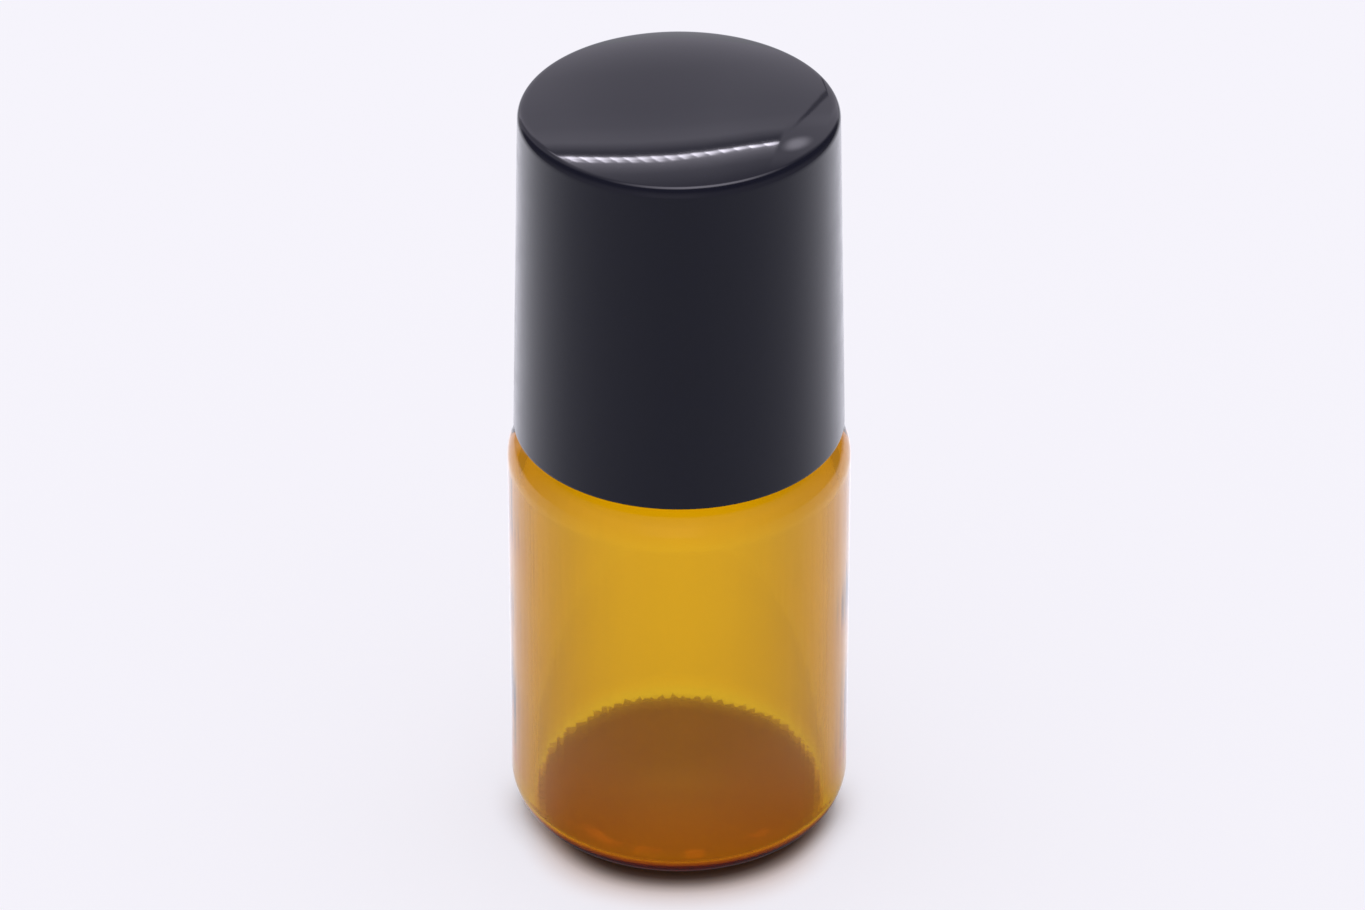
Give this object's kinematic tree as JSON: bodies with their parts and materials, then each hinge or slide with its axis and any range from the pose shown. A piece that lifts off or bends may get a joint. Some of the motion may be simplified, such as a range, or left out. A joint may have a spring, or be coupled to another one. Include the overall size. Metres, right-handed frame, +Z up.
{
  "type": "roll-on bottle",
  "caption": "Small amber glass vial with a ball applicator pressed into its neck and a tall, slightly tapered black screw cap.",
  "frame": {"origin": "centre of the base, on the surface that the bottle stands on", "axes": "+Z up along the bottle's axis, from the base to the cap; +X and +Y across it"},
  "size_m": [0.016, 0.016, 0.0391],
  "materials": {
    "amber_glass": "smooth amber glass",
    "natural_plastic": "natural, slightly waxy",
    "steel_ball": "polished stainless steel",
    "seal_foam": "soft foam",
    "black_plastic": "moulded, semi-gloss"
  },
  "bodies": {
    "bottle": {"glass_bottle": "amber_glass", "ball_fitment": "natural_plastic"},
    "ball": {"roller_ball": "steel_ball"},
    "seal": {"seal_pad": "seal_foam"},
    "cap": {"screw_cap": "black_plastic"}
  },
  "joints": [
    {"name": "ball_roll", "type": "hinge", "parent": "bottle", "child": "ball", "pos_m": [0, 0, 0.0327], "axis": [1, 0, 0], "continuous": true},
    {"name": "cap_lift", "type": "slide", "parent": "bottle", "child": "seal", "axis": [0, 0, 1], "range_m": [0, 0.0168]},
    {"name": "cap_turn", "type": "hinge", "parent": "seal", "child": "cap", "pos_m": [0, 0, 0.0211], "axis": [0, 0, 1], "range_deg": [0, 2880]}
  ],
  "couplings": [
    {"joint": "cap_turn", "follows": "cap_lift", "rad_per_m": 2992}
  ]
}
